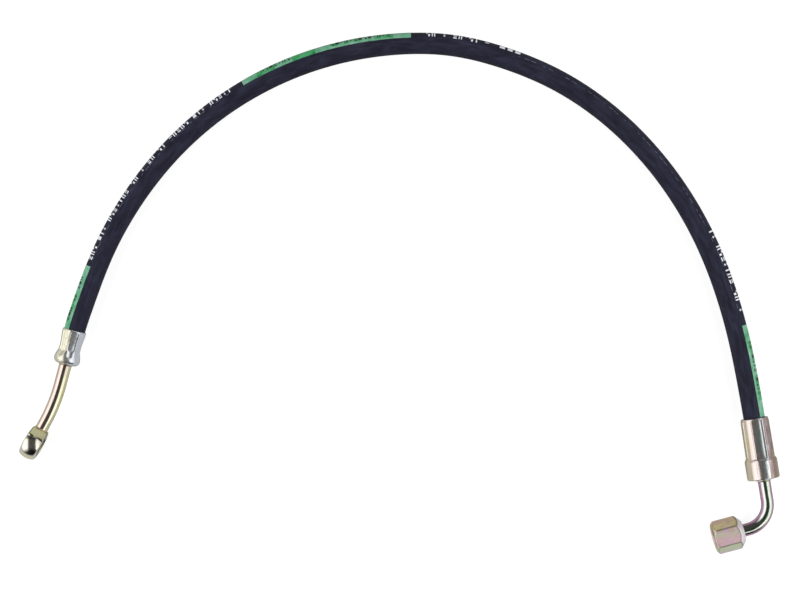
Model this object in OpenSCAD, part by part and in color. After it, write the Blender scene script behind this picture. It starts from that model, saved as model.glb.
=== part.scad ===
// Hydraulic hose assembly lying flat on a bench: a one-wire-braid rubber hose with a crimped
// banjo eye on one end, and a swept elbow with a 24 degree cone, O-ring and swivel nut on the other.
// Millimetres. +Z is up, the bench is at z = 0, and the two fittings point towards -Y.

/* [Hose] */
// Outside diameter of the rubber cover
hose_d = 13.5; // [13.2:0.1:13.8]
// Diameter over the wire braid
braid_d = 10.8; // [10.5:0.1:11]
// Outside diameter of the liner, under the braid
liner_d = 9.4; // [9.2:0.1:9.6]
// Bore of the hose
hose_bore_d = 6.4; // [6.4:0.1:6.6]
// Sides of the hose's plain solids
hose_sides = 12; // [8:4:12]

/* [Tubes and tails] */
// Outside diameter of the steel tubes
tube_d = 8; // [7.8:0.1:8]
// Bore of the steel tubes
tube_bore_d = 5; // [4:0.5:5.5]
// Bore through the hose tails
tail_bore_d = 4; // [3:0.5:4.5]
// Diameter over the barbs of the hose tails
barb_d = 6.1; // [5.8:0.1:6.1]
// Distance from barb to barb
barb_pitch = 2.2; // [2:0.1:2.6]

/* [Banjo end] */
// Where the hose enters the banjo ferrule, seen from above
banjo_mouth = [-204.8, 69.7];
// Direction from that mouth towards the eye, anticlockwise from +X
banjo_heading = -105; // [-110:1:-100]
// Straight length of the stem, from the ferrule's mouth to the bend
stem_straight = 34.9; // [30:0.1:40]
// Radius of the gentle bend in the stem
stem_bend_r = 110; // [90:5:130]
// Angle of the bend in the stem
stem_bend = 14; // [8:1:18]
// Distance from the end of the bend to the middle of the eye
eye_reach = 14.7; // [13:0.1:18]
// Diameter of the ball that the eye is cut from
eye_d = 20; // [20:0.1:20.4]
// Thickness of the eye between its two sealing faces
eye_w = 11; // [10.5:0.5:12]
// Hole for an M12 banjo bolt
eye_hole_d = 12.1; // [12.1:0.1:12.4]

/* [Swivel end] */
// Where the hose enters the swivel ferrule, seen from above
swivel_mouth = [222.9, 14.5];
// Direction from that mouth towards the elbow, anticlockwise from +X
swivel_heading = -81; // [-85:1:-78]
// Straight length from the ferrule's mouth to the elbow
elbow_straight = 52.6; // [48:0.1:56]
// Bend radius of the elbow
elbow_r = 16; // [16:1:18]
// Angle of the elbow
elbow_bend = 84; // [80:1:90]
// Diameter of the uncrimped end of the swivel ferrule
collar_d = 20.4; // [20:0.1:21]
// Clear tube between the elbow and the nut
nut_gap = 3.6; // [3:0.1:5]

/* [Swivel nut] */
// Width across the nut's flats
nut_af = 19; // [18.8:0.1:19.4]
// Length of the nut
nut_len = 19; // [19:0.5:22]
// Minor diameter of its M16 x 1.5 thread
nut_bore_d = 14.38; // [14.3:0.01:14.5]
// Hole at the back of the nut, which runs on the tube
nut_back_d = 8.7; // [8.5:0.1:9]

/* [Hidden] */
$fn = 64;
eps = 0.01;
play = 0.05;

hose_r = hose_d / 2;
tube_r = tube_d / 2;
eye_r = eye_d / 2;
// Height of each fitting's axis: the eye stands on its rim, and the ferrule lies on its collar.
banjo_lift = eye_r;
swivel_lift = collar_d / 2;

// Along each ferrule from its mouth: [distance, how far the crimp presses the cover in].
banjo_crimp = [[16, 0.65], [13, 1.3], [8, 1.1], [3, 0.5], [0, 0.05]];
swivel_crimp = [[0, 0.05], [1.5, 0.6], [24.5, 0.6], [27.5, 0], [33, 0]];
banjo_hose_end = banjo_crimp[0][0];
swivel_hose_end = swivel_crimp[4][0];

// Route of the free hose between the two mouths: [x, y, height above lying on the bench].
hose_route = [
    [-199.2, 86.9, 3.2], [-187.1, 118.6, 2.5], [-170.6, 149.2, 1.5], [-150.3, 176.5, 0.6], [-126, 200.5, 0.1],
    [-98.3, 220.2, 0], [-67.8, 235.3, 0], [-35.3, 245.4, 0], [-1.5, 250.3, 0], [33.1, 249.4, 0],
    [66.2, 241.4, 0], [97.7, 228.3, 0], [126.7, 209.7, 0], [151.8, 186.8, 0.1], [173.4, 159.8, 0.6],
    [190.6, 130.3, 1.4], [203.6, 98.7, 2.3], [213.1, 65.7, 3], [219.9, 32, 3.4]];

function heading(a) = [cos(a), sin(a), 0];
function in_ferrule(mouth, lift, a, s) = [mouth.x, mouth.y, lift] + s * heading(a);
// Every ring of the hose: [point, how far it is pressed in].
hose_rings = concat(
    [for (c = banjo_crimp) [in_ferrule(banjo_mouth, banjo_lift, banjo_heading, c[0]), c[1]]],
    [for (p = hose_route) [p + [0, 0, hose_r], 0]],
    [for (c = swivel_crimp) [in_ferrule(swivel_mouth, swivel_lift, swivel_heading, c[0]), c[1]]]);
ring_count = len(hose_rings);

// Direction of the route at a ring: from the ring before it to the ring after it.
function route_step(i) = hose_rings[min(i + 1, ring_count - 1)][0] - hose_rings[max(i - 1, 0)][0];
function unit(v) = v / norm(v);
// One ring of points, of radius r and square to the route.
function ring(i, r) =
    let (t = unit(route_step(i)), side = unit(cross(t, [0, 0, 1])), up = cross(side, t))
    [for (k = [0:hose_sides - 1]) let (a = 360 * k / hose_sides) hose_rings[i][0] + r * (cos(a) * side + sin(a) * up)];

// A hose layer: a hollow tube that narrows by part of the crimp outside (grip_out) and inside (grip_in).
module hose_layer(r_out, grip_out, r_in, grip_in) {
    n = hose_sides;
    outside = [for (i = [0:ring_count - 1]) each ring(i, r_out - grip_out * hose_rings[i][1])];
    inside = [for (i = [0:ring_count - 1]) each ring(i, r_in - grip_in * hose_rings[i][1])];
    inner = len(outside);
    last = n * (ring_count - 1);
    walls = [for (i = [0:ring_count - 2], k = [0:n - 1]) let (a = i * n + k, b = i * n + (k + 1) % n) each [
        [a, b, b + n], [a, b + n, a + n],
        [inner + a, inner + b + n, inner + b], [inner + a, inner + a + n, inner + b + n]]];
    ends = [for (k = [0:n - 1]) let (b = (k + 1) % n) each [
        [k, inner + k, inner + b], [k, inner + b, b],
        [last + k, last + b, inner + last + b], [last + k, inner + last + b, inner + last + k]]];
    polyhedron(concat(outside, inside), concat(walls, ends));
}

// Puts local +Z along a fitting's heading, with the local origin at the mouth of its ferrule.
module banjo_side() {
    translate([banjo_mouth.x, banjo_mouth.y, banjo_lift]) rotate([0, 90, banjo_heading]) children();
}
module swivel_side() {
    translate([swivel_mouth.x, swivel_mouth.y, swivel_lift]) rotate([0, 90, swivel_heading]) children();
}
// Carries a shape round a bend that turns clockwise, seen from above, after a straight length.
module after_bend(straight, bend_r, angle) {
    translate([0, -bend_r, straight]) rotate([angle, 0, 0]) translate([0, bend_r, 0]) children();
}
module banjo_eye_place() {
    banjo_side() after_bend(stem_straight, stem_bend_r, stem_bend) translate([0, 0, eye_reach]) children();
}
module nut_place() {
    swivel_side() after_bend(elbow_straight, elbow_r, elbow_bend) translate([0, 0, nut_gap]) children();
}

module turned(profile) {
    rotate_extrude() polygon(profile);
}
// A straight rod, a bend and a second straight rod, in one run.
module bent_rod(r, start, straight, bend_r, angle, tail) {
    translate([0, 0, start]) cylinder(r = r, h = straight - start);
    translate([0, -bend_r, straight]) rotate([90, 0, 90])
        rotate_extrude(angle = angle) translate([bend_r, 0]) circle(r = r);
    after_bend(straight, bend_r, angle) translate([0, 0, -play]) cylinder(r = r + eps, h = tail + play);
}
// Sawtooth barbs from one distance to another: [radius, distance] pairs.
function barbs(from, to) = [for (i = [0:floor((to - from) / barb_pitch) - 1]) let (s = from + i * barb_pitch) each [
    [barb_d / 2 - 0.4, s], [barb_d / 2, s + 0.7 * barb_pitch]]];
// A hose tail: barbs in the hose, a locking collar at the hose's end, and a socket for the tube.
module hose_tail(hose_end, collar_r, collar_w, shank_r, shank_end, socket) {
    turned(concat(
        [[tail_bore_d / 2, 1.5], [barb_d / 2 - 0.6, 1.5]],
        barbs(2.4, hose_end - 2),
        [[barb_d / 2 - 0.1, hose_end - 2], [barb_d / 2 - 0.1, hose_end + 0.1], [collar_r, hose_end + 0.1],
        [collar_r, hose_end + collar_w], [shank_r, hose_end + collar_w], [shank_r, shank_end],
        [tube_r + play, shank_end], [tube_r + play, socket], [tail_bore_d / 2, socket]]));
}
// The braze in the corner between a tube and the face that it enters.
module braze(at, leg_r, leg_z) {
    turned([[tube_r + 2 * eps, at], [tube_r + leg_r, at], [tube_r + 2 * eps, at - leg_z]]);
}

// Hose
module hose_cover() color("#2b2a31") hose_layer(hose_r, 1, braid_d / 2, 0.7);
module hose_wire_braid() color("#b08d4a") hose_layer(braid_d / 2, 0.7, liner_d / 2, 0.5);
module hose_inner_tube() color("#17171a") hose_layer(liner_d / 2, 0.5, hose_bore_d / 2, 0);

// Banjo end
banjo_shank_r = 4.9;
banjo_shank_end = 22.1;
banjo_socket = 17.6;
banjo_flange = 18.2;
module banjo_ferrule() color("#d8cf9c") banjo_side() difference() {
    turned([[6.75, 0], [7.3, 0], [7.6, 0.4], [7.4, 3.2], [7.1, 5.5], [6.85, 8], [6.7, 10], [6.65, 12.3],
        [6.8, 13.3], [7.25, 14.6], [8.0, 16.9], [8.3, 18.4], [8.25, 19.6], [7.7, 20.8], [6.7, 21.7], [5.6, 22.1],
        [banjo_shank_r + play, 22.1], [banjo_shank_r + play, banjo_flange], [6.2, banjo_flange], [6.2, 16],
        [5.5, 13], [5.7, 8], [6.3, 3]]);
    for (s = [4.5, 7, 9.5, 12]) turned([[5, s - 0.5], [6.35, s - 0.5], [6.05, s + 0.3], [5, s + 0.3]]);
}
module banjo_hose_tail() color("#c9c5b0") banjo_side()
    hose_tail(banjo_hose_end, 5.4, 1.9, banjo_shank_r, banjo_shank_end, banjo_socket);
module banjo_tail_braze() color("#d2c48a") banjo_side() translate([0, 0, banjo_shank_end]) mirror([0, 0, 1])
    braze(0, 0.8, 0.8);

eye_neck = 10.5;
eye_neck_w = 9.8;
eye_neck_h = 9.7;
// Half height and distance from the middle where the neck's sloping flanks run into the ball
eye_flank = [7.9, 5.6];
eye_socket = 7.1;
module banjo_stem_tube() color("#ddd6ac") banjo_side() difference() {
    bent_rod(tube_r, banjo_socket + play, stem_straight, stem_bend_r, stem_bend, eye_reach - eye_socket);
    bent_rod(tube_bore_d / 2, banjo_socket - 1, stem_straight, stem_bend_r, stem_bend, eye_reach);
}
module banjo_eye_braze() color("#d2c48a") banjo_eye_place() braze(-eye_neck, 0.8, 0.8);
module banjo_eye() color("#e0d8a6") banjo_eye_place() difference() {
    intersection() {
        union() {
            sphere(r = eye_r);
            rotate([90, 0, 0]) linear_extrude(height = eye_neck_w, center = true) polygon([
                [eye_neck_h / 2, -eye_neck], [eye_flank.x, -eye_flank.y], [-eye_flank.x, -eye_flank.y],
                [-eye_neck_h / 2, -eye_neck]]);
        }
        cube([3 * eye_r, eye_w, 3 * eye_r], center = true);
    }
    rotate([90, 0, 0]) cylinder(d = eye_hole_d, h = eye_w + 1, center = true);
    for (side = [-1, 1]) rotate([90 * side, 0, 0]) translate([0, 0, eye_w / 2 - 0.4])
        cylinder(d1 = eye_hole_d, d2 = eye_hole_d + 1, h = 0.5);
    translate([0, 0, -eye_neck - eps]) cylinder(r = tube_r + play, h = eye_neck - eye_socket + eps);
    translate([0, 0, -eye_neck]) cylinder(d = tube_bore_d - 0.5, h = eye_neck);
}

// Swivel end
swivel_shank_r = 5;
swivel_shank_end = 39.6;
swivel_socket = 34.2;
swivel_flange = 35.4;
module swivel_ferrule() color("#cdb98c") swivel_side() difference() {
    turned([[6.75, 0], [8.3, 0], [8.6, 0.5], [8.75, 3], [8.95, 23], [9.05, 25], [9.35, 25.5], [10, 26.4],
        [collar_d / 2, 26.9], [collar_d / 2, 38.1], [collar_d / 2 - 0.4, 38.6],
        [swivel_shank_r + play, 38.6], [swivel_shank_r + play, swivel_flange], [7.2, swivel_flange],
        [7.2, 27.5], [6.2, 24.5], [6.2, 1.5]]);
    for (s = [4:3:22]) turned([[5, s - 0.6], [6.8, s - 0.6], [6.5, s + 0.6], [5, s + 0.6]]);
}
module swivel_hose_tail() color("#c9c5b0") swivel_side()
    hose_tail(swivel_hose_end, 6.2, 2.3, swivel_shank_r, swivel_shank_end, swivel_socket);
module elbow_tail_braze() color("#c9b27c") swivel_side() translate([0, 0, swivel_shank_end]) mirror([0, 0, 1])
    braze(0, 0.8, 0.8);

// Along the nut's axis from its back face
nose_back = 2.7;
nose_socket = 6.2;
nose_tip = 10.3;
module elbow_tube() color("#c8b489") swivel_side() difference() {
    bent_rod(tube_r, swivel_socket + play, elbow_straight, elbow_r, elbow_bend, nut_gap + nose_socket - play);
    bent_rod(tube_bore_d / 2, swivel_socket - 1, elbow_straight, elbow_r, elbow_bend, nut_gap + nose_tip);
}
module cone_nose_braze() color("#c9b27c") nut_place() braze(nose_back, 0.55, 0.35);
module cone_nose() color("#c6b183") nut_place() turned([
    [tube_r + play, nose_back], [4.83, nose_back], [6.3, 4.17], [6.3, 5.5], [5.75, 5.6], [5.58, 6.4],
    [4.55, 6.4], [4.55, 7.9], [5.26, 7.9], [4.75, nose_tip],
    [tube_bore_d / 2, nose_tip], [tube_bore_d / 2, nose_socket], [tube_r + play, nose_socket]]);
module nose_o_ring() color("#1b1b1d") nut_place() translate([0, 0, 7.15])
    rotate_extrude() translate([5.17, 0]) circle(r = 0.6);

thread_start = 10.7;
nut_seat_r = 7.65;
module swivel_nut() color("#c4a883") nut_place() difference() {
    intersection() {
        rotate([0, 0, 30]) cylinder(r = nut_af / sqrt(3), h = nut_len, $fn = 6);
        turned([[0, 0], [6.4, 0], [11, 3.8], [11, nut_len - 1.8], [9, nut_len], [0, nut_len]]);
    }
    turned([[0, -1], [nut_back_d / 2, -1], [nut_back_d / 2, 1.8], [nut_seat_r, 5.1],
        [nut_seat_r, thread_start], [nut_bore_d / 2, thread_start], [nut_bore_d / 2, nut_len - 0.8],
        [nut_bore_d / 2 + 1, nut_len], [nut_bore_d / 2 + 1, nut_len + 1], [0, nut_len + 1]]);
}

hose_cover();
hose_wire_braid();
hose_inner_tube();
banjo_ferrule();
banjo_hose_tail();
banjo_tail_braze();
banjo_stem_tube();
banjo_eye_braze();
banjo_eye();
swivel_ferrule();
swivel_hose_tail();
elbow_tail_braze();
elbow_tube();
cone_nose_braze();
cone_nose();
nose_o_ring();
swivel_nut();
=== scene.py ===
import math

import bpy
import numpy as np
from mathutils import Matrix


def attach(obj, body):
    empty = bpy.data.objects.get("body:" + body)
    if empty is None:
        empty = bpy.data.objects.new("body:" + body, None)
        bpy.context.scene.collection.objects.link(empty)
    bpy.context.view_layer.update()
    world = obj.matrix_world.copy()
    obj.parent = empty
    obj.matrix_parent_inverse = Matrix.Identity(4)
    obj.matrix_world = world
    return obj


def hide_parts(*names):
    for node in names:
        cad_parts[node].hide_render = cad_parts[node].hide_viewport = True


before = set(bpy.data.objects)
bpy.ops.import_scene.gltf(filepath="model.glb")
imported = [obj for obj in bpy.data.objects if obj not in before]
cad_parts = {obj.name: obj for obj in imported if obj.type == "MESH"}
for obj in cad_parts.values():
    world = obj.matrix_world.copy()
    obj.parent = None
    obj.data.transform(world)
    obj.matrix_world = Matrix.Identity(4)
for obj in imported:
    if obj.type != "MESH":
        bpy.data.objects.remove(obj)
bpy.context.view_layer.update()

MM = 0.001
UP = np.array([0.0, 0.0, 1.0])

# ---------------------------------------------------------------- sizes, in millimetres

HOSE_R = 6.75
BRAID_R = 5.4
LINER_R = 4.7
HOSE_BORE_R = 3.2
TUBE_R = 4.0
TUBE_BORE_R = 2.5
SOCKET_R = 4.05
BARB_PITCH = 2.2

EYE_R = 10.0
EYE_HALF_W = 5.5
EYE_HOLE_R = 6.05
EYE_NECK = 10.5
EYE_SOCKET = 7.1

NUT_HALF_AF = 9.5
NUT_CORNER_R = 11.0
NUT_LENGTH = 19.0
NUT_BACK_R = 6.4
# How much the nut's rear cone widens in radius for each millimetre along it
NUT_CONE = 1.21
THREAD_R = 7.19
THREAD_PITCH = 1.5

# The centre line of each fitting: where and how high its ferrule's mouth is, its heading there, its straight
# length, and the radius and angle of its bend.
BANJO_END = {
    "mouth": (-204.8, 69.7), "lift": 10.0, "heading": -105, "straight": 34.9, "bend_r": 110, "bend": 14}
SWIVEL_END = {
    "mouth": (222.9, 14.5), "lift": 10.2, "heading": -81, "straight": 52.6, "bend_r": 16, "bend": 84}


def bend_end(end):
    """The distance along a fitting at which its bend ends."""
    return end["straight"] + end["bend_r"] * math.radians(end["bend"])


EYE_AT = bend_end(BANJO_END) + 14.7
NUT_AT = bend_end(SWIVEL_END) + 3.6

# Distances from each ferrule's mouth, and how far the crimp presses the hose's cover in there.
BANJO_CRIMP = [(16, 0.65), (13, 1.3), (8, 1.1), (3, 0.5), (0, 0.05)]
SWIVEL_CRIMP = [(0, 0.05), (1.5, 0.6), (24.5, 0.6), (27.5, 0), (33, 0)]
# Route of the free hose: x, y and the height above lying on the bench.
HOSE_ROUTE = [
    (-199.2, 86.9, 3.2), (-187.1, 118.6, 2.5), (-170.6, 149.2, 1.5), (-150.3, 176.5, 0.6), (-126, 200.5, 0.1),
    (-98.3, 220.2, 0), (-67.8, 235.3, 0), (-35.3, 245.4, 0), (-1.5, 250.3, 0), (33.1, 249.4, 0),
    (66.2, 241.4, 0), (97.7, 228.3, 0), (126.7, 209.7, 0), (151.8, 186.8, 0.1), (173.4, 159.8, 0.6),
    (190.6, 130.3, 1.4), (203.6, 98.7, 2.3), (213.1, 65.7, 3), (219.9, 32, 3.4)]


# ---------------------------------------------------------------- shapes

def smooth_step(x, low, high):
    """0 below low, 1 above high, and 3t^2 - 2t^3 between them."""
    t = np.clip((x - low) / (high - low), 0, 1)
    return t * t * (3 - 2 * t)


def soft_min(*sizes, power=40):
    """The least of several sizes with its corners eased: (sum of size^-power)^(-1/power)."""
    return sum(np.asarray(size, float) ** -power for size in sizes) ** (-1 / power)


def centre_line(end, along):
    """Points and headings at distances along a fitting: straight, then an arc that turns clockwise seen from
    above, then straight. Past the arc's start the point is its centre less the bend radius to the right."""
    first = math.radians(end["heading"])
    turned = np.clip((along - end["straight"]) / end["bend_r"], 0, math.radians(end["bend"]))
    now = first - turned
    rest = np.maximum(along - bend_end(end), 0)
    ahead = np.stack([np.cos(now), np.sin(now), 0 * now], axis=-1)
    right = np.stack([np.sin(now), -np.cos(now), 0 * now], axis=-1)
    first_ahead = np.array([math.cos(first), math.sin(first), 0])
    first_right = np.array([math.sin(first), -math.cos(first), 0])
    mouth = np.array([*end["mouth"], end["lift"]])
    straight = np.minimum(along, end["straight"])[:, None]
    points = mouth + straight * first_ahead + end["bend_r"] * (first_right - right) + rest[:, None] * ahead
    return points, ahead


def rings(centre, ahead, radius, angle):
    """Rings square to a path: centre + radius (cos angle up + sin angle side), with side to the right of the
    path seen from above and up square to both. radius holds one row per ring and one column per angle."""
    side = np.cross(ahead, UP)
    side /= np.linalg.norm(side, axis=-1, keepdims=True)
    up = np.cross(side, ahead)
    outwards = np.cos(angle)[:, None] * up[:, None] + np.sin(angle)[:, None] * side[:, None]
    return centre[:, None] + radius[..., None] * outwards


def quads(number):
    """The four-cornered faces of a grid of vertex numbers."""
    corners = [number[:-1, :-1], number[:-1, 1:], number[1:, 1:], number[1:, :-1]]
    return np.stack(corners, axis=-1).reshape(-1, 4)


def closed_both_ways(points):
    """A grid whose last row and column join its first: a doughnut of any section."""
    rows, columns = points.shape[:2]
    number = np.pad(np.arange(rows * columns).reshape(rows, columns), ((0, 1), (0, 1)), mode="wrap")
    return points.reshape(-1, 3), quads(number)


def slab(top, bottom):
    """A thin closed slab between two grids of points, with a wall round its rim."""
    count = top.shape[0] * top.shape[1]
    number = np.arange(count).reshape(top.shape[:2])
    rim = np.concatenate([number[0, :-1], number[:-1, -1], number[-1, :0:-1], number[:0:-1, 0]])
    after = np.roll(rim, -1)
    wall = np.stack([after, rim, rim + count, after + count], axis=-1)
    faces = np.concatenate([quads(number), quads(number)[:, ::-1] + count, wall])
    return np.concatenate([top.reshape(-1, 3), bottom.reshape(-1, 3)]), faces


def eased(corners, ease=0.25, step=0.5):
    """A closed outline of (along, radius) corners, each rounded by the curve
    (1-t)^2 a + 2t(1-t) corner + t^2 b that starts and ends `ease` from it, with further points so that none
    are more than `step` apart."""
    corners = np.array(corners, float)
    ways = [np.roll(corners, 1, axis=0) - corners, np.roll(corners, -1, axis=0) - corners]
    reach = [np.minimum(ease / np.linalg.norm(way, axis=1, keepdims=True), 0.45) * way for way in ways]
    start, end = (corners + reach[0])[:, None], (corners + reach[1])[:, None]
    t = np.linspace(0, 1, 5)[None, :, None]
    line = ((1 - t) ** 2 * start + 2 * t * (1 - t) * corners[:, None] + t ** 2 * end).reshape(-1, 2)
    line = np.concatenate([line, line[:1]])
    length = np.concatenate([[0], np.cumsum(np.linalg.norm(np.diff(line, axis=0), axis=1))])
    at = np.union1d(length, np.arange(0, length[-1], step))[:-1]
    at = at[np.concatenate([[True], np.diff(at) > 1e-4])]
    return np.interp(at, length, line[:, 0]), np.interp(at, length, line[:, 1])


def turned(end, at, corners, around=96, ease=0.25, step=0.5, relief=None):
    """A hollow turned piece on a fitting's centre line: its closed outline, outside forwards and bore
    backwards, carried round. relief(along, radius, angle) gives the radius where the piece isn't round."""
    along, radius = eased(corners, ease, step)
    angle = np.linspace(0, 2 * math.pi, around, endpoint=False)
    radius = np.repeat(radius[:, None], around, axis=1)
    if relief:
        radius = relief(along[:, None], radius, angle[None])
    centre, ahead = centre_line(end, at + along)
    return closed_both_ways(rings(centre, ahead, radius, angle))


def join(shapes):
    """Several shapes as one list of points and one of faces."""
    starts = np.cumsum([0] + [len(points) for points, _ in shapes[:-1]])
    return (np.concatenate([points for points, _ in shapes]),
            np.concatenate([faces + start for (_, faces), start in zip(shapes, starts)]))


def piece(name, shape, finish, body="assembly", node=None, sharp=38):
    """Puts a shape in millimetres into the scene as a named piece, shaded smooth except at sharp edges."""
    points, faces = shape
    name = f"{name}_detail" if node else name
    mesh = bpy.data.meshes.new(name)
    mesh.from_pydata((points * MM).tolist(), [], faces.tolist())
    mesh.shade_smooth()
    mesh.set_sharp_from_angle(angle=math.radians(sharp))
    mesh.materials.append(finish)
    made = bpy.data.objects.new(name, mesh)
    bpy.context.scene.collection.objects.link(made)
    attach(made, body)
    if node:
        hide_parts(node)
    return made


# ---------------------------------------------------------------- finishes

def add(tree, kind, sockets=None, **settings):
    """A shader node whose sockets are given values or other nodes' outputs."""
    made = tree.nodes.new(kind)
    for key, value in settings.items():
        setattr(made, key, value)
    for key, value in (sockets or {}).items():
        if isinstance(value, bpy.types.NodeSocket):
            tree.links.new(value, made.inputs[key])
        else:
            made.inputs[key].default_value = value
    return made


def shader(name, **sockets):
    """A new material, its node tree and its Principled shader."""
    made = bpy.data.materials.new(name)
    made.use_nodes = True
    surface = made.node_tree.nodes["Principled BSDF"]
    for key, value in sockets.items():
        surface.inputs[key.replace("_", " ")].default_value = value
    return made, made.node_tree, surface


def ramp(tree, factor, stops):
    """Colours blended along a factor: (position, red, green, blue) stops."""
    made = add(tree, "ShaderNodeValToRGB", {"Fac": factor})
    points = made.color_ramp.elements
    while len(points) < len(stops):
        points.new(0.5)
    for point, (at, *colour) in zip(points, stops):
        point.position = at
        point.color = (*colour, 1)
    return made.outputs["Color"]


def noise(tree, where, scale, detail=3.0, roughness=0.55, distortion=0.0):
    """A noise pattern's value, about 0.5 on average."""
    sockets = {"Vector": where, "Scale": scale, "Detail": detail, "Roughness": roughness,
               "Distortion": distortion}
    return add(tree, "ShaderNodeTexNoise", sockets).outputs["Fac"]


def math_node(tree, operation, first, second):
    """The result of a sum, product or the like of two values."""
    return add(tree, "ShaderNodeMath", {0: first, 1: second}, operation=operation).outputs["Value"]


def blend(tree, factor, first, second, kind="MIX"):
    """Two colours mixed by a factor, or multiplied or added."""
    sockets = {0: factor, 6: first, 7: second}
    return add(tree, "ShaderNodeMix", sockets, data_type="RGBA", blend_type=kind).outputs[2]


def remap(tree, value, low, high, start=0.0, stop=1.0):
    """A value carried from start..stop to low..high, and held at the ends outside."""
    sockets = {"Value": value, "From Min": start, "From Max": stop, "To Min": low, "To Max": high}
    return add(tree, "ShaderNodeMapRange", sockets).outputs["Result"]


def mapping(tree, where, turn=0.0, scale=(1, 1, 1)):
    """Coordinates scaled and then turned about Z, in degrees."""
    sockets = {"Vector": where, "Rotation": (0, 0, math.radians(turn)), "Scale": scale}
    return add(tree, "ShaderNodeMapping", sockets).outputs["Vector"]


def waves(tree, where, turn, scale, distortion=0.0):
    """Two patterns of parallel bands, turned by plus and minus some degrees."""
    return [add(tree, "ShaderNodeTexWave", {
        "Vector": mapping(tree, where, way), "Scale": scale, "Distortion": distortion},
        bands_direction="X").outputs["Fac"] for way in (turn, -turn)]


def coloured(tree, surface, colour, dull=None):
    """Gives a surface its colour and, where stated, its roughness."""
    tree.links.new(colour, surface.inputs["Base Color"])
    if dull is not None:
        tree.links.new(dull, surface.inputs["Roughness"])


def bumped(tree, surface, height, strength, deep):
    """Gives a surface fine relief, `deep` millimetres for a height of 1."""
    bump = add(tree, "ShaderNodeBump", {"Height": height, "Strength": strength, "Distance": deep * MM})
    tree.links.new(bump.outputs["Normal"], surface.inputs["Normal"])


def plated(name, heading, colours, patch, streak, smooth, rough, across=None, wander=1.0, metal=1.0,
           grain=0.02):
    """Plated steel: passivation colours in patches a few millimetres across, drawn out along the fitting,
    with a roughness that follows fine streaks. With across, the colours also run from one side of a point to
    the other, which paints the reflections as bands of highlight and shade by side: (point, direction, how
    far it is from the point to the last colour). Less metal is a cloudier coat."""
    made, tree, surface = shader(name, Metallic=metal)
    where = add(tree, "ShaderNodeTexCoord").outputs["Object"]
    drawn = mapping(tree, mapping(tree, where, -heading), 0.0, (1 / streak, 1, 1))
    patches = noise(tree, drawn, 1 / (patch * MM), 3.0, 0.6, 0.6)
    fine = noise(tree, drawn, 5 / (patch * MM), 2.0, 0.6)
    streaks = math_node(tree, "MULTIPLY", math_node(tree, "SUBTRACT", fine, 0.5), 0.35)
    mixed = math_node(tree, "ADD", patches, streaks)
    factor = remap(tree, mixed, 0.5 - 0.5 * wander, 0.5 + 0.5 * wander)
    # The run across paints reflections: bright bands of painted highlight and dark bands of painted shade,
    # set by side.
    if across:
        point, direction, reach = across
        middle = tuple(np.array(point) * MM)
        off = add(tree, "ShaderNodeVectorMath", {0: where, 1: middle}, operation="SUBTRACT").outputs["Vector"]
        share = tuple(np.array(direction) / (2 * reach * MM))
        run = add(tree, "ShaderNodeVectorMath", {0: off, 1: share}, operation="DOT_PRODUCT").outputs["Value"]
        factor = math_node(tree, "ADD", factor, run)
    coloured(tree, surface, ramp(tree, factor, colours), remap(tree, fine, smooth, rough, 0.3, 0.7))
    bumped(tree, surface, noise(tree, where, 2500.0, 2.0), 0.5, grain)
    return made


def with_painted_light(material):
    """Lets a piece's own attribute of painted light darken a finish into painted shade, below 1, or turn it
    into a painted near-white highlight, up to 2.
    """
    tree = material.node_tree
    surface = tree.nodes["Principled BSDF"]
    painted_light = add(tree, "ShaderNodeAttribute", attribute_name="painted_light").outputs["Fac"]
    plain = surface.inputs["Base Color"].links[0].from_socket
    # Painted shade: below 1 the finish is blended towards near-black.
    painted_shade_colour = blend(tree, remap(tree, painted_light, 0.0, 1.0), (0.03, 0.02, 0.03, 1), plain)
    # Painted highlight: above 1 the colour is blended towards near-white.
    painted_highlight_share = remap(tree, painted_light, 0.0, 1.0, 1.0, 2.0)
    coloured(tree, surface, blend(tree, painted_highlight_share, painted_shade_colour, (0.96, 0.93, 0.95, 1)))


def beside(end, at):
    """A point on a fitting's centre line, the direction to its left seen from above, and its heading."""
    (point,), (ahead,) = centre_line(end, np.array([float(at)]))
    return point, np.cross(UP, ahead), ahead


def hose_rubber(name):
    """Cloth-wrapped rubber on the hose's own unrolled coordinates: a fine weave at 45 degrees and soft
    diagonal mottling."""
    made, tree, surface = shader(name, Specular_IOR_Level=0.22)
    unrolled = add(tree, "ShaderNodeUVMap").outputs["UV"]
    mottle = noise(tree, mapping(tree, unrolled, 38, (1, 0.28, 1)), 260.0, 4.0, 0.6, 0.4)
    coloured(tree, surface, ramp(tree, mottle, COVER), remap(tree, mottle, 0.62, 0.8))
    cloth = math_node(tree, "MULTIPLY", *waves(tree, unrolled, 45, 420.0, 0.6))
    bumped(tree, surface, math_node(tree, "ADD", cloth, mottle), 0.6, 0.06)
    return made


def plain_rubber(name, dark, light):
    """Moulded black rubber: fine mottling and a slightly uneven skin."""
    made, tree, surface = shader(name, Specular_IOR_Level=0.35)
    mottle = noise(tree, add(tree, "ShaderNodeTexCoord").outputs["Object"], 900.0)
    colour = ramp(tree, mottle, [(0.35, *dark), (0.65, *light)])
    coloured(tree, surface, colour, remap(tree, mottle, 0.45, 0.65))
    bumped(tree, surface, mottle, 0.4, 0.04)
    return made


def braided_wire(name):
    """Brass-coated steel wires in two crossing directions on the hose's unrolled coordinates."""
    made, tree, surface = shader(name, Metallic=1.0, Roughness=0.35)
    unrolled = add(tree, "ShaderNodeUVMap").outputs["UV"]
    crossed = math_node(tree, "MAXIMUM", *waves(tree, unrolled, 54, 900.0))
    coloured(tree, surface, ramp(tree, crossed, WIRE))
    bumped(tree, surface, crossed, 0.7, 0.1)
    return made


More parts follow.
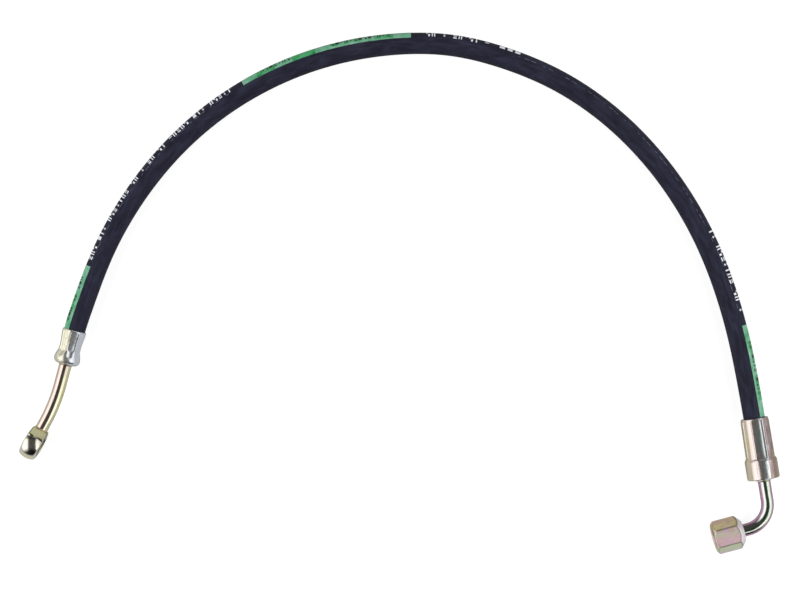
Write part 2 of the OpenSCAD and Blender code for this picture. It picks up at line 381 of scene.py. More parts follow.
def ink_and_painted_sheen(name, stops, wear):
    """Ink rolled on to rubber, also used for the painted sheen on the parting line: uneven cover along the
    hose, worn through in specks.
    """
    made, tree, surface = shader(name, Roughness=0.6, Specular_IOR_Level=0.3)
    where = add(tree, "ShaderNodeTexCoord").outputs["Object"]
    body = ramp(tree, noise(tree, where, 170.0, 4.0, 0.65), stops)
    worn = remap(tree, noise(tree, where, 1400.0, 3.0, 0.7), 0.0, 1.0, wear, wear + 0.08)
    coloured(tree, surface, blend(tree, worn, body, (0.03, 0.03, 0.045, 1)))
    return made


# Colours as (position, red, green, blue) stops. A plating's run from one side of its piece to the other,
# whose light and dark stops paint highlights and shade among the passivation colours.
COVER = [(0.34, 0.0110, 0.0095, 0.0200), (0.5, 0.0165, 0.0160, 0.0320), (0.66, 0.0250, 0.0270, 0.0500)]
WIRE = [(0.2, 0.10, 0.07, 0.03), (0.6, 0.48, 0.34, 0.14), (1.0, 0.74, 0.56, 0.28)]
BRAZE = [(0.3, 0.42, 0.34, 0.16), (0.5, 0.72, 0.60, 0.34), (0.7, 0.80, 0.72, 0.50)]
PALE_AND_PAINTED_REFLECTIONS = [
    (0.18, 0.78, 0.82, 0.88), (0.40, 0.70, 0.74, 0.78), (0.50, 0.88, 0.87, 0.83), (0.56, 0.86, 0.82, 0.66),
    (0.60, 0.42, 0.40, 0.25), (0.64, 0.90, 0.87, 0.70), (0.74, 0.80, 0.77, 0.58), (0.85, 0.92, 0.91, 0.84)]
STRAW_AND_PAINTED_REFLECTIONS = [
    (0.12, 0.80, 0.76, 0.38), (0.36, 0.90, 0.86, 0.58), (0.50, 0.66, 0.58, 0.48), (0.64, 0.94, 0.74, 0.68),
    (0.85, 0.86, 0.70, 0.56)]
EYE_AND_PAINTED_REFLECTIONS = [
    (0.0, 0.66, 0.62, 0.34), (0.12, 0.76, 0.73, 0.45), (0.24, 0.60, 0.57, 0.34), (0.28, 0.66, 0.62, 0.62),
    (0.40, 0.92, 0.90, 0.70), (0.66, 0.90, 0.84, 0.78), (0.84, 0.90, 0.86, 0.70), (0.90, 0.96, 0.94, 0.60)]
CHROMATE_AND_PAINTED_REFLECTIONS = [
    (0.02, 0.66, 0.62, 0.38), (0.12, 0.36, 0.26, 0.23), (0.26, 0.46, 0.34, 0.33), (0.33, 0.56, 0.48, 0.50),
    (0.37, 0.92, 0.90, 0.94), (0.42, 0.90, 0.90, 0.94), (0.50, 0.58, 0.70, 0.64), (0.60, 0.62, 0.52, 0.48),
    (0.66, 0.92, 0.78, 0.76), (0.80, 0.88, 0.74, 0.70), (0.95, 0.76, 0.70, 0.42)]
ELBOW_AND_PAINTED_REFLECTIONS = [
    (0.18, 0.66, 0.40, 0.56), (0.30, 0.80, 0.56, 0.66), (0.44, 0.68, 0.88, 0.72), (0.66, 0.76, 0.84, 0.70),
    (0.76, 0.36, 0.48, 0.36), (0.95, 0.40, 0.32, 0.30)]
NUT_AND_PAINTED_REFLECTIONS = [
    (0.02, 0.86, 0.66, 0.72), (0.12, 0.74, 0.86, 0.66), (0.25, 0.76, 0.80, 0.46), (0.33, 0.98, 0.62, 0.80),
    (0.46, 1.0, 0.72, 0.72), (0.57, 0.78, 0.84, 0.56), (0.66, 0.90, 0.58, 0.80), (0.74, 0.76, 0.70, 0.38),
    (0.84, 0.78, 0.66, 0.34), (0.98, 0.70, 0.50, 0.42)]
GREEN = [
    (0.34, 0.080, 0.330, 0.160), (0.46, 0.150, 0.420, 0.250), (0.58, 0.210, 0.440, 0.310),
    (0.70, 0.300, 0.520, 0.420)]
FRESH_GREEN = [(0.36, 0.020, 0.200, 0.060), (0.50, 0.045, 0.340, 0.105), (0.64, 0.090, 0.410, 0.180)]

cover_rubber = hose_rubber("cover_rubber")
braid_wire = braided_wire("braid_wire")
liner_rubber = plain_rubber("liner_rubber", (0.008, 0.008, 0.010), (0.020, 0.020, 0.023))
seal_rubber = plain_rubber("seal_rubber", (0.010, 0.010, 0.011), (0.022, 0.022, 0.024))

# The banjo ferrule's colours run across it as painted reflections: light bands of painted highlight and a
# dark olive band of painted shade.
ferrule_at, ferrule_left, _ = beside(BANJO_END, 11)
pale_zinc = plated("pale_zinc", -105, PALE_AND_PAINTED_REFLECTIONS, 1.3, 12.0, 0.14, 0.26, (ferrule_at, ferrule_left, -11), 0.8, 0.86)
# The stem's colours run across it as painted reflections: bright bands of painted highlight each side of a
# darker painted stripe down the middle.
stem_at, stem_left, _ = beside(BANJO_END, 44)
straw_zinc = plated("straw_zinc", -110, STRAW_AND_PAINTED_REFLECTIONS, 3.2, 6.0, 0.10, 0.18, (stem_at, stem_left, -6), 0.35)
# The eye's colours run along it as painted reflections: an olive shoulder, a pale ball and a cream rim.
eye_at, _, eye_ahead = beside(BANJO_END, EYE_AT)
eye_zinc = plated("eye_zinc", -119, EYE_AND_PAINTED_REFLECTIONS, 3.0, 1.5, 0.14, 0.22, (eye_at, eye_ahead, 10.5), 0.25)
# The swivel ferrule's colours run across it as painted reflections: a near-white band of painted highlight
# and darker bands of painted shade.
collar_at, collar_left, _ = beside(SWIVEL_END, 20)
chromate_zinc = plated(
    "chromate_zinc", -81, CHROMATE_AND_PAINTED_REFLECTIONS, 2.0, 12.0, 0.15, 0.26, (collar_at, collar_left, -10.5), 0.8, 0.92)
# The elbow's colours change with height as painted reflections: pink low on the sides, a pale green band of
# painted highlight higher up and a dark band of painted shade along the top.
elbow_zinc = plated("elbow_zinc", -110, ELBOW_AND_PAINTED_REFLECTIONS, 4.0, 2.0, 0.10, 0.18, ((0, 0, 13.7), (0, 0, 1), 0.9), 0.4)
# The nut's colours across it are partly its passivation tint and partly painted light: faces made brighter
# and darker by side.
nut_at, nut_left, _ = beside(SWIVEL_END, NUT_AT + NUT_LENGTH / 2)
nut_zinc = plated("nut_zinc", -165, NUT_AND_PAINTED_REFLECTIONS, 2.4, 2.2, 0.36, 0.52, (nut_at, nut_left, -11), 0.75, 0.72)
# The nut's finish takes the painted shade and highlight kept on its points.
with_painted_light(nut_zinc)
tail_zinc = plated("tail_zinc", -90, PALE_AND_PAINTED_REFLECTIONS, 3.0, 1.5, 0.25, 0.40)
braze = plated("braze", 0, BRAZE, 1.2, 1.0, 0.30, 0.50, grain=0.05)

green_ink = ink_and_painted_sheen("green_ink", GREEN, 0.68)
fresh_green_ink = ink_and_painted_sheen("fresh_green_ink", FRESH_GREEN, 0.62)
dark_ink = ink_and_painted_sheen("dark_ink", [(0.40, 0.012, 0.030, 0.028), (0.60, 0.022, 0.070, 0.050)], 0.75)
# Light grey dashes that paint the sheen along a faint parting line of the hose.
painted_sheen_ink = ink_and_painted_sheen("painted_sheen_ink", [(0.35, 0.07, 0.07, 0.10), (0.65, 0.20, 0.20, 0.25)], 0.56)
white_ink = ink_and_painted_sheen("white_ink", [(0.30, 0.60, 0.63, 0.70), (0.55, 0.85, 0.88, 0.92)], 0.60)

# ---------------------------------------------------------------- camera

camera = bpy.data.objects.new("camera", bpy.data.cameras.new("camera"))
camera.location = (0, 0.08883, 1.45)
camera.data.lens = 102.93
camera.data.sensor_width = 36
bpy.context.scene.collection.objects.link(camera)
bpy.context.scene.camera = camera

# ---------------------------------------------------------------- hose

def smooth_route(knots, step):
    """Even points and directions on the natural cubic spline through the knots, by chord length. Its second
    derivatives m solve h0 m0 + 2 (h0 + h1) m1 + h1 m2 = 6 (slope1 - slope0), with none at the ends."""
    chord = np.linalg.norm(np.diff(knots, axis=0), axis=1)
    at = np.concatenate([[0], np.cumsum(chord)])
    slope = np.diff(knots, axis=0) / chord[:, None]
    matrix = np.eye(len(knots))
    inner = np.arange(1, len(knots) - 1)
    matrix[inner, inner - 1] = chord[:-1]
    matrix[inner, inner] = 2 * (chord[:-1] + chord[1:])
    matrix[inner, inner + 1] = chord[1:]
    right = np.zeros_like(knots)
    right[1:-1] = 6 * np.diff(slope, axis=0)
    second = np.linalg.solve(matrix, right)
    t = np.linspace(0, at[-1], 4000)
    k = np.clip(np.searchsorted(at, t, side="right") - 1, 0, len(chord) - 1)
    h, a, b = chord[k][:, None], (at[k + 1] - t)[:, None], (t - at[k])[:, None]
    bow = (second[k] * a ** 3 + second[k + 1] * b ** 3) / (6 * h)
    line = bow + (knots[k] / h - second[k] * h / 6) * a + (knots[k + 1] / h - second[k + 1] * h / 6) * b
    run = np.concatenate([[0], np.cumsum(np.linalg.norm(np.diff(line, axis=0), axis=1))])
    even = np.linspace(0, run[-1], round(run[-1] / step))
    points = np.stack([np.interp(even, run, line[:, i]) for i in range(3)], axis=-1)
    ahead = np.gradient(points, axis=0)
    return points, ahead / np.linalg.norm(ahead, axis=1, keepdims=True), even


def crimp_knots(end, crimp):
    """The hose's centre line inside a ferrule, which is straight for as long as the hose is in it."""
    return centre_line({**end, "straight": 100}, np.array([depth for depth, _ in crimp], float))[0]


banjo_knots = crimp_knots(BANJO_END, BANJO_CRIMP)
swivel_knots = crimp_knots(SWIVEL_END, SWIVEL_CRIMP)
free_knots = np.array(HOSE_ROUTE) + [0, 0, HOSE_R]
route, route_ahead, route_at = smooth_route(np.concatenate([banjo_knots, free_knots, swivel_knots]), 1.2)

# Distances along the whole hose: the ferrules' mouths, and where the cover is pressed in by the crimps.
BANJO_MOUTH_AT = BANJO_CRIMP[0][0]
SWIVEL_MOUTH_AT = route_at[-1] - SWIVEL_CRIMP[-1][0]
PRESS_REACH = 18
press_at = ([BANJO_MOUTH_AT - depth for depth, _ in BANJO_CRIMP]
            + [BANJO_MOUTH_AT + PRESS_REACH, SWIVEL_MOUTH_AT - PRESS_REACH]
            + [SWIVEL_MOUTH_AT + depth for depth, _ in SWIVEL_CRIMP])
press_in = [press for _, press in BANJO_CRIMP] + [0, 0] + [press for _, press in SWIVEL_CRIMP]
pressed = np.interp(route_at, press_at, press_in)


def hose_layer(name, outer, outer_grip, inner, inner_grip, finish, around, weave=0.0):
    """A hollow layer of the hose along its route. Each wall's radius loses its share of the crimp, and the
    outer wall of the braid also swells by weave cos(12a + s/1.75) cos(12a - s/1.75), at angle a and distance
    s along."""
    angle = np.linspace(0, 2 * math.pi, around, endpoint=False)
    twist = route_at[:, None] / 1.75
    carriers = weave * np.cos(12 * angle + twist) * np.cos(12 * angle - twist)
    outside = (outer - outer_grip * pressed)[:, None] + carriers - weave
    inside = np.repeat((inner - inner_grip * pressed)[::-1, None], around, axis=1)
    both = np.concatenate([route, route[::-1]]), np.concatenate([route_ahead, route_ahead[::-1]])
    shape = closed_both_ways(rings(*both, np.concatenate([outside, inside]), angle))
    made = piece(name, shape, finish, node=name)
    rows = 2 * len(route)
    across = np.arange(around + 1) / around * 2 * math.pi * outer * MM
    down = np.concatenate([route_at, route_at[::-1], route_at[:1]]) * MM
    i, j = (x.reshape(-1) for x in np.meshgrid(np.arange(rows), np.arange(around), indexing="ij"))
    u = across[np.stack([j, j + 1, j + 1, j], axis=-1)]
    v = down[np.stack([i, i, i + 1, i + 1], axis=-1)]
    corners = np.stack([u, v], axis=-1).astype(np.float32)
    made.data.uv_layers.new(name="unrolled").data.foreach_set("uv", corners.ravel())
    return made


hose_cover = hose_layer("hose_cover", HOSE_R, 1, BRAID_R, 0.7, cover_rubber, 48)
hose_braid = hose_layer("hose_wire_braid", BRAID_R, 0.7, LINER_R, 0.5, braid_wire, 72, 0.12)
hose_liner = hose_layer("hose_inner_tube", LINER_R, 0.5, HOSE_BORE_R, 0, liner_rubber, 40)


def hose_film(start, length, low, high, skin=0.05):
    """A film on the hose, for print and for the painted sheen on the parting line: from start, that far
    along, between two angles off the top (negative on the outside of the bow), both in degrees."""
    along = np.linspace(start, start + length, max(2, round(length / 2.0) + 1)) + BANJO_MOUTH_AT
    angle = np.radians(np.linspace(low, high, max(2, round((high - low) / 9) + 1)))
    centre = np.stack([np.interp(along, route_at, route[:, i]) for i in range(3)], axis=-1)
    ahead = np.stack([np.interp(along, route_at, route_ahead[:, i]) for i in range(3)], axis=-1)
    base = np.interp(along, route_at, HOSE_R - pressed)[:, None] + 0 * angle
    return slab(rings(centre, ahead, base + skin, angle), rings(centre, ahead, base - 0.05, angle))


# Marks of the print, each a few blocks: (from, to along the mark, from, to across it), as shares of its cell.
MARKS = {
    "bar": [(0.35, 0.65, 0, 1)],
    "bars": [(0.05, 0.32, 0, 1), (0.62, 0.9, 0, 1)],
    "stack": [(0.1, 0.9, 0.0, 0.2), (0.1, 0.9, 0.4, 0.6), (0.1, 0.9, 0.8, 1.0)],
    "dots": [(0.3, 0.7, 0.12, 0.36), (0.3, 0.7, 0.62, 0.86)],
    "block": [(0.05, 0.95, 0.05, 0.95)],
    "dash": [(0.05, 0.95, 0.4, 0.6)],
    "step": [(0.0, 0.45, 0.0, 0.45), (0.5, 0.95, 0.55, 1.0)],
    "point": [(0.3, 0.7, 0.0, 0.22)],
    "gap": []}


def marked(start, end, words, cell=3.3, wide=2.5, low=-76, high=-36, skin=0.07):
    """A line of generic marks, one to a cell, repeated from start to end."""
    films = []
    for i in range(int((end - start) / cell)):
        for a, b, c, d in MARKS[words[i % len(words)]]:
            edges = low + c * (high - low), low + d * (high - low)
            films.append(hose_film(start + i * cell + a * wide, (b - a) * wide, *edges, skin))
    return films


# The order of the marks in the white lines, and where the films lie along the free hose.
WORDS = [
    "stack", "bars", "step", "gap", "block", "bar", "dots", "gap", "bars", "step", "stack", "dots", "bar",
    "bars", "stack", "gap", "step", "bars", "gap", "dots", "gap", "stack", "bars", "point", "step", "bar",
    "gap", "dash", "bars"]
FRESH_PATCHES = [
    (4, 18, -90, -46), (201, 12, -70, -28), (225, 15, -76, -27), (250, 4, -72, -40), (259, 9, -80, -40),
    (277, 12, -78, -32), (604, 14, -80, -44), (626, 16, -84, -40)]
DARK_LINES = [
    (5, 34, ["stack", "block", "bars", "gap", "step", "bar", "gap"]),
    (204, 227, ["bars", "step", "block", "stack", "dots"]),
    (250, 289, ["step", "block", "dash", "bars", "dots", "stack", "block"]),
    (604, 642, ["bar", "stack", "gap", "block", "step"])]

green_films = [hose_film(start, length, -94, -27) for start, length in ((0, 41), (191, 109), (594, 58))]
fresh_films = [hose_film(*patch, 0.06) for patch in FRESH_PATCHES]
dark_films = [film for line in DARK_LINES for film in marked(*line, 2.9, 2.5, -82, -44, 0.08)]
white_films = (marked(45, 184, WORDS) + marked(306, 349, WORDS[15:])
               + marked(531, 592, WORDS[5:], 3.7, 3.0, -76, -33))
lozenges = [hose_film(355 + 5 * i, 3.4, -68, -44, 0.07) for i in range(3)]
# Painted highlight: short light dashes along a faint parting line, where the cover catches the light.
parting_line_glints = [hose_film(start + 4 * i, 1.2 + 2.6 * abs(math.sin(2.3 * i)), -31, -28.6, 0.06)
              for start, count in ((46, 34), (368, 56)) for i in range(count) if math.sin(1.7 * i) > -0.6]

green_print = piece("green_print", join(green_films), green_ink)
fresh_green_print = piece("fresh_green_print", join(fresh_films), fresh_green_ink)
dark_print = piece("dark_print", join(dark_films), dark_ink)
white_print = piece("white_print", join(white_films + lozenges), white_ink)
# The painted sheen along the parting line.
painted_parting_line = piece("painted_parting_line", join(parting_line_glints), painted_sheen_ink)


# ---------------------------------------------------------------- turned pieces and tubes

def crimped(ridge, start, stop, shift, outline, roll=0, flat=0.0):
    """A crimped ferrule: eight lands, the first rolled from the top by some degrees, with a ridge between
    neighbours, a bell curve round the ferrule. A land is flattened by flat/2 (1 + cos 8 angle), and the skirt
    starts later at the middle of a land than at a ridge, by shift cos(8 angle)."""
    def relief(along, radius, angle):
        outside = (radius > 6.5) & (along > 0.3)
        angle = angle - math.radians(roll)
        off = 8 * np.radians(np.abs(np.degrees(angle) % 45 - 22.5))
        window = smooth_step(along, start, start + 1.2) * (1 - smooth_step(along, stop - 1.5, stop + 1))
        bead = (ridge * np.exp(-(off / 0.55) ** 2) - flat / 2 * (1 + np.cos(8 * angle))) * window
        near = smooth_step(along, stop - 5, stop - 2) * (1 - smooth_step(along, stop + 3, stop + 6))
        line = np.array(outline).T
        later = np.interp(along - shift * np.cos(8 * angle) * near, *line) - np.interp(along, *line)
        return radius + np.where(outside, bead + later, 0)
    return relief


BANJO_SKIN = [
    (0.4, 7.6), (3.2, 7.4), (5.5, 7.1), (8, 6.85), (10, 6.7), (12.3, 6.65), (13.3, 6.8), (14.6, 7.25),
    (16.9, 8.0), (18.4, 8.3), (19.6, 8.25), (20.8, 7.7), (21.7, 6.7), (22.1, 5.6)]
BANJO_BORE = [(22.1, 4.95), (18.2, 4.95), (18.2, 6.2), (16, 6.2), (13, 5.5), (8, 5.7), (3, 6.3)]
banjo_relief = crimped(0.36, 0.3, 13.3, 0.8, BANJO_SKIN, -14, 0.16)
banjo_outline = [(0, 6.8), (0, 7.3), *BANJO_SKIN, *BANJO_BORE]
banjo_shell = turned(BANJO_END, 0, banjo_outline, 192, 0.2, 0.35, banjo_relief)
piece("banjo_ferrule", banjo_shell, pale_zinc, node="banjo_ferrule")

SWIVEL_SKIN = [
    (0.5, 8.6), (3, 8.75), (23, 8.95), (25, 9.05), (25.5, 9.35), (26.4, 10.0), (26.9, 10.2), (38.1, 10.2)]
SWIVEL_BORE = [(38.6, 5.05), (35.4, 5.05), (35.4, 7.2), (27.5, 7.2), (24.5, 6.2), (1.5, 6.2)]
swivel_relief = crimped(0.4, 0.5, 25.2, 0.3, SWIVEL_SKIN)
swivel_outline = [(0, 6.8), (0, 8.3), *SWIVEL_SKIN, (38.6, 9.8), *SWIVEL_BORE]
swivel_shell = turned(SWIVEL_END, 0, swivel_outline, 192, 0.25, 0.35, swivel_relief)
piece("swivel_ferrule", swivel_shell, chromate_zinc, node="swivel_ferrule")


def barbs(start, stop):
    """Sawtooth barbs from start to as near stop as whole ones come."""
    starts = [start + BARB_PITCH * i for i in range(int((stop - start) / BARB_PITCH))]
    return [point for at in starts for point in ((at, 2.65), (at + 0.7 * BARB_PITCH, 3.05))]


def hose_tail(end, hose_end, collar_r, collar_w, shank_r, shank_end, socket):
    """A barbed hose tail with its locking collar and the socket for its tube."""
    return turned(end, 0, [
        (1.5, 2), (1.5, 2.45), *barbs(2.4, hose_end - 2), (hose_end - 2, 2.95), (hose_end + 0.1, 2.95),
        (hose_end + 0.1, collar_r), (hose_end + collar_w, collar_r), (hose_end + collar_w, shank_r),
        (shank_end, shank_r), (shank_end, SOCKET_R), (socket, SOCKET_R), (socket, 2)], 64, 0.12, 1.0)


banjo_tail = hose_tail(BANJO_END, 16, 5.4, 1.9, 4.9, 22.1, 17.6)
swivel_tail = hose_tail(SWIVEL_END, 33, 6.2, 2.3, 5, 39.6, 34.2)
piece("banjo_hose_tail", banjo_tail, tail_zinc, node="banjo_hose_tail")
piece("swivel_hose_tail", swivel_tail, tail_zinc, node="swivel_hose_tail")


def fillet(end, at, out, back):
    """A ring of braze in the corner of a tube and a face: a hollow curve from `out` up the face to `back`
    along the tube, forwards if positive, with a slight waviness round the joint."""
    corner = [(0, TUBE_R), (0, TUBE_R + out), (0.35 * back, TUBE_R + 0.32 * out), (back, TUBE_R)]
    if back < 0:
        corner = corner[::-1]

    def relief(along, radius, angle):
        return TUBE_R + (radius - TUBE_R) * (1 + 0.12 * np.sin(3 * angle + 0.6) + 0.06 * np.sin(7 * angle))
    return turned(end, at, corner, 72, 0.12, 0.12, relief)


def bent_tube(end, start, stop):
    """A steel tube on a fitting's centre line with its two ends eased."""
    outline = [(start, TUBE_BORE_R), (start, TUBE_R), (stop, TUBE_R), (stop, TUBE_BORE_R)]
    return turned(end, 0, outline, 64, 0.3, 0.8)


stem = bent_tube(BANJO_END, 17.65, EYE_AT - EYE_SOCKET)
eye_braze = fillet(BANJO_END, EYE_AT - EYE_NECK, 0.8, -0.8)
piece("banjo_tail_braze", fillet(BANJO_END, 22.1, 0.8, 0.8), braze, node="banjo_tail_braze")
piece("banjo_stem_tube", stem, straw_zinc, node="banjo_stem_tube")
piece("banjo_eye_braze", eye_braze, braze, node="banjo_eye_braze")
piece("elbow_tail_braze", fillet(SWIVEL_END, 39.6, 0.8, 0.8), braze, node="elbow_tail_braze")
elbow = bent_tube(SWIVEL_END, 34.25, NUT_AT + 6.15)
piece("elbow_tube", elbow, elbow_zinc, node="elbow_tube")
nose_braze = fillet(SWIVEL_END, NUT_AT + 2.7, 0.55, -0.35)
piece("cone_nose_braze", nose_braze, braze, node="cone_nose_braze")
nose = turned(SWIVEL_END, NUT_AT, [
    (2.7, SOCKET_R), (2.7, 4.83), (4.17, 6.3), (5.5, 6.3), (5.6, 5.75), (6.4, 5.58), (6.4, 4.55), (7.9, 4.55),
    (7.9, 5.26), (10.3, 4.75), (10.3, TUBE_BORE_R), (6.2, TUBE_BORE_R), (6.2, SOCKET_R)], 96, 0.12, 0.5)
piece("cone_nose", nose, elbow_zinc, node="cone_nose")

# The O-ring's own section, a circle of radius 0.6 in the nose's groove.
section = np.linspace(0, 2 * math.pi, 20, endpoint=False)
ring_outline = np.stack([-0.6 * np.cos(section), 5.17 + 0.6 * np.sin(section)], axis=-1)
o_ring = turned(SWIVEL_END, NUT_AT + 7.15, ring_outline, 72, 0.05, 0.3)
piece("nose_o_ring", o_ring, seal_rubber, node="nose_o_ring")

# ---------------------------------------------------------------- banjo eye

def eye_shape():
    """The eye round its own hole, as a closed grid: one way goes round the hole, the other across the eye and
    back through the hole. Outside, the distance from the middle is the ball's or, near the tube, the neck's.
    The neck ends at EYE_NECK, and on its sloping flanks the distance times (rise + 0.702 to_tube) is 12.22.
    Both are cut by the two faces, with every corner eased. The fluid port is a pit in the hole's wall."""
    (centre,), (ahead,) = centre_line(BANJO_END, np.array([EYE_AT]))
    axis = np.cross(ahead, UP)
    turn = np.linspace(0, 2 * math.pi, 360, endpoint=False)[None]
    tilt = np.radians(np.linspace(-41, 41, 90))[:, None]
    to_tube = np.cos(tilt) * np.cos(turn)
    rise = np.abs(np.cos(tilt) * np.sin(turn))
    flank = 12.22 / np.maximum(rise + 0.702 * to_tube, 1e-3)
    neck = soft_min(flank, EYE_NECK / np.maximum(to_tube, 1e-3), power=60)
    body = EYE_R + (neck - EYE_R) * smooth_step(neck * to_tube, 4.8, 6.1)
    waist = EYE_HALF_W / np.maximum(np.abs(np.sin(tilt)) + 0.10 * np.maximum(to_tube - 0.35, 0), 1e-3)
    outer = soft_min(body, waist, power=18)
    outside = np.stack([outer * np.cos(tilt) + 0 * turn, outer * np.sin(tilt) + 0 * turn], axis=-1)
    wide = outside[-1, :, 1].min()
    in_hole = np.linspace(1, -1, 60)[:, None]
    wall = EYE_HOLE_R + 0.45 * smooth_step(np.abs(in_hole), 0.93, 1.0)
    width = in_hole * (wide - 0.02)
    port = np.hypot(width, EYE_HOLE_R * np.sin(turn))
    depth = 4.0 * (1 - smooth_step(port, 2.0, 2.25)) * (np.cos(turn) > 0)
    inside = np.stack([wall + depth, width + 0 * turn], axis=-1)
    ring = np.concatenate([outside, inside])
    outwards = np.cos(turn)[..., None] * -ahead - np.sin(turn)[..., None] * UP
    return closed_both_ways(centre + ring[..., :1] * outwards + ring[..., 1:] * axis)


piece("banjo_eye", eye_shape(), eye_zinc, node="banjo_eye")

# ---------------------------------------------------------------- swivel nut

def nut_relief(along, radius, angle):
    """Six flats outside, eased where they meet each other and the turned ends, most at the back. Inside, an
    M16 x 1.5 thread, cut by a triangle wave of the distance along less a pitch for every turn."""
    flats = [NUT_HALF_AF / np.maximum(np.cos(angle - k * math.pi / 3), 0.05) for k in range(6)]
    outside = soft_min(radius, *flats, power=40 - 10 * (1 - smooth_step(along, 2, 6)))
    phase = ((along - THREAD_PITCH * angle / (2 * math.pi)) / THREAD_PITCH) % 1
    cut = smooth_step(along, 10.9, 11.6) * (1 - smooth_step(along, 17.6, 18.3))
    depth = np.clip(1.35 * (1 - np.abs(2 * phase - 1)) - 0.2, 0, 1) * cut
    return np.where(radius > 8.6, outside, radius + 0.8 * depth * (np.abs(radius - THREAD_R) < 0.02))


def nut_painted_light(points):
    """Light and shade painted on the nut's plating: 1 on the flats, painted shade in a line along each
    corner, at the front chamfer and just ahead of the rear cone, and 2 on the rear cone, a painted near-white
    highlight. At an angle c off the nearest corner, the flat's radius is NUT_HALF_AF / cos(30 - c)."""
    (back,), (ahead,) = centre_line(SWIVEL_END, np.array([NUT_AT]))
    off = points - back
    along = off @ ahead
    radius = np.linalg.norm(off - along[:, None] * ahead, axis=1)
    angle = np.degrees(np.arctan2(off @ np.cross(ahead, UP), off[:, 2]))
    corner = np.abs(angle % 60 - 30)
    flat = np.minimum(NUT_HALF_AF / np.cos(np.radians(30 - corner)), NUT_CORNER_R)
    past_cone = along - (flat - NUT_BACK_R) / NUT_CONE
    chamfer = NUT_LENGTH - along - (flat - 9.0) / 1.11
    # Painted shade: a dark line along each corner, a band at the front chamfer and one just ahead of the rear
    # cone.
    line = 1 - smooth_step(NUT_CORNER_R * np.radians(corner), 0.2, 0.75)
    line = line * (radius > 9.6) * (past_cone > 0.1) * (chamfer > 0.2)
    front = 0.5 * (1 - smooth_step(np.abs(chamfer), 0.1, 0.6)) * (radius > 9.1) * (along > 15)
    shade = smooth_step(past_cone, 0.05, 0.3) * (1 - smooth_step(past_cone, 0.5, 1.5)) * (radius > 8.9)
    # Painted highlight: the rear cone is set to 2, near-white.
    cone = (past_cone < -0.05) & (np.abs(radius - NUT_BACK_R - NUT_CONE * along) < 0.2)
    return np.where(cone, 2.0, 1 - 0.6 * np.maximum(np.maximum(line, front), 0.8 * shade))


nut_outline = [
    (0, 4.35), (0, NUT_BACK_R), (3.8, NUT_CORNER_R), (17.2, NUT_CORNER_R), (NUT_LENGTH, 9.0),
    (NUT_LENGTH, 8.2), (18.2, THREAD_R), (10.7, THREAD_R), (10.7, 7.65), (5.1, 7.65), (1.8, 4.35)]
nut_shape = turned(SWIVEL_END, NUT_AT, nut_outline, 216, 0.18, 0.16, nut_relief)
nut = piece("swivel_nut", nut_shape, nut_zinc, body="nut", node="swivel_nut", sharp=30)

# The nut's painted shade and highlight, kept on each point.
painted_light = nut_painted_light(np.array([corner.co for corner in nut.data.vertices]) / MM)
nut.data.attributes.new("painted_light", "FLOAT", "POINT").data.foreach_set("value", painted_light.astype(np.float32))

# ---------------------------------------------------------------- floor and light

# Half the floor's side, in metres
FLOOR = 40
floor = bpy.data.objects.new("floor", bpy.data.meshes.new("floor"))
floor.data.from_pydata([(x * FLOOR, y * FLOOR, -0.0002) for x, y in ((-1, -1), (1, -1), (1, 1), (-1, 1))], [],
                       [(0, 1, 2, 3)])
floor_white, tree, surface = shader("floor_white", Base_Color=(0.5, 0.5, 0.5, 1), Roughness=0.9,
                                    Specular_IOR_Level=0.0)
# The camera sees a floor that is nearly plain white. Reflections and bounced light see a grey one.
glow = add(tree, "ShaderNodeEmission", {"Strength": 0.8}).outputs[0]
matt = add(tree, "ShaderNodeBsdfDiffuse", {"Color": (0.35, 0.35, 0.35, 1)}).outputs[0]
lit = add(tree, "ShaderNodeAddShader", {0: glow, 1: matt}).outputs[0]
direct = add(tree, "ShaderNodeLightPath").outputs["Is Camera Ray"]
bench = add(tree, "ShaderNodeMixShader", {0: direct, 1: surface.outputs[0], 2: lit})
tree.links.new(bench.outputs[0], tree.nodes["Material Output"].inputs["Surface"])
floor.data.materials.append(floor_white)
bpy.context.scene.collection.objects.link(floor)


def greys(*stops):
    """Stops of grey from (position, brightness) pairs."""
    return [(at, value, value, value) for at, value in stops]


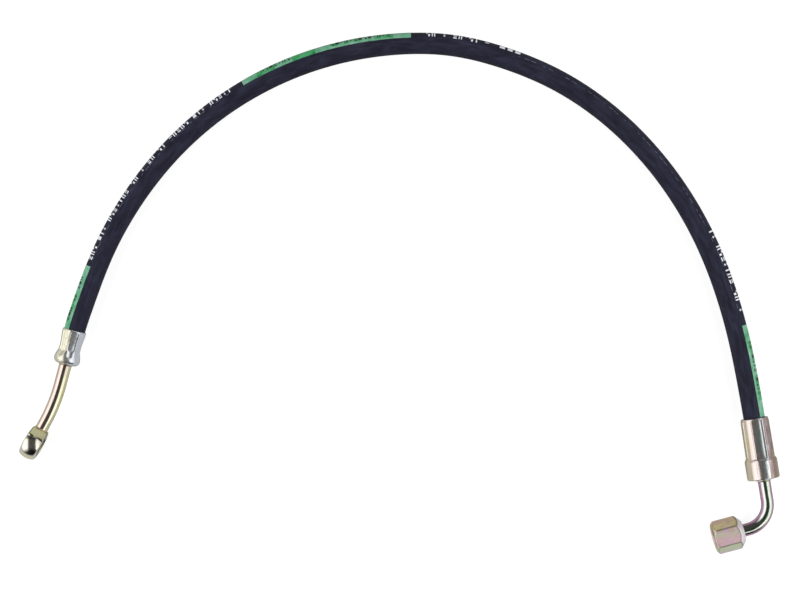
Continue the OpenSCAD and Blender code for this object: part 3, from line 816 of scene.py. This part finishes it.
# The room that the steel mirrors: a bright bank on each side, dark overhead and at both ends, dimmer at bench
# level, and a panel behind that is brighter on the right. The camera itself sees plain white.
world = bpy.data.worlds.new("studio")
world.use_nodes = True
bpy.context.scene.world = world
sky = world.node_tree
way = add(sky, "ShaderNodeTexCoord").outputs["Generated"]
parts = add(sky, "ShaderNodeSeparateXYZ", {"Vector": way}).outputs
sideways = math_node(sky, "ADD", math_node(sky, "MULTIPLY", parts["X"], 0.5), 0.5)
backwards = math_node(sky, "ADD", math_node(sky, "MULTIPLY", parts["Y"], 0.5), 0.5)
banks = ramp(sky, sideways, greys((0.04, 0.85), (0.10, 1), (0.20, 1), (0.25, 0.80), (0.29, 0.05),
                                  (0.71, 0.05), (0.76, 0.90), (0.84, 0.95), (0.96, 0.70)))
fade = ramp(sky, backwards, greys((0.13, 0.05), (0.27, 1), (0.73, 1), (0.87, 0.15)))
horizon = ramp(sky, parts["Z"], greys((0.06, 0.30), (0.14, 1)))
panel = ramp(sky, backwards, greys((0.86, 0), (0.91, 0.5)))
to_right = ramp(sky, sideways, greys((0.5, 0.12), (0.62, 1)))
lit_banks = blend(sky, 1.0, banks, blend(sky, 1.0, fade, horizon, "MULTIPLY"), "MULTIPLY")
room = blend(sky, 1.0, lit_banks, blend(sky, 1.0, panel, to_right, "MULTIPLY"), "ADD")
seen = blend(sky, add(sky, "ShaderNodeLightPath").outputs["Is Camera Ray"], room, (1, 1, 1, 1))
sky.links.new(seen, sky.nodes["Background"].inputs["Color"])
sky.nodes["Background"].inputs["Strength"].default_value = 1.35


# The point on the bench, in metres, that the lights face
AIM = np.array([0, 0.08, 0])


def softbox(name, place, size, power, mirrored=False):
    """A large soft light that faces the aim. Only a mirrored one is seen in the plated steel."""
    light = bpy.data.lights.new(name, "AREA")
    light.shape = "RECTANGLE"
    light.size, light.size_y = size
    light.energy = power
    box = bpy.data.objects.new(name, light)
    back = np.array(place) - AIM
    out = back / np.linalg.norm(back)
    side = np.cross(UP, out)
    side /= np.linalg.norm(side)
    turn = np.eye(4)
    turn[:3, :4] = np.stack([side, np.cross(out, side), out, place], axis=-1)
    box.matrix_world = turn.T.tolist()
    box.visible_camera = False
    box.visible_glossy = mirrored
    bpy.context.scene.collection.objects.link(box)


softbox("left_softbox", (-0.95, 0.08, 0.95), (1.1, 0.8), 8.4)
softbox("right_softbox", (0.95, 0.08, 0.95), (1.1, 0.8), 8.4)
softbox("front_softbox", (0.55, -0.60, 0.70), (0.5, 0.3), 0.5, mirrored=True)

bpy.context.scene.view_settings.view_transform = "Standard"
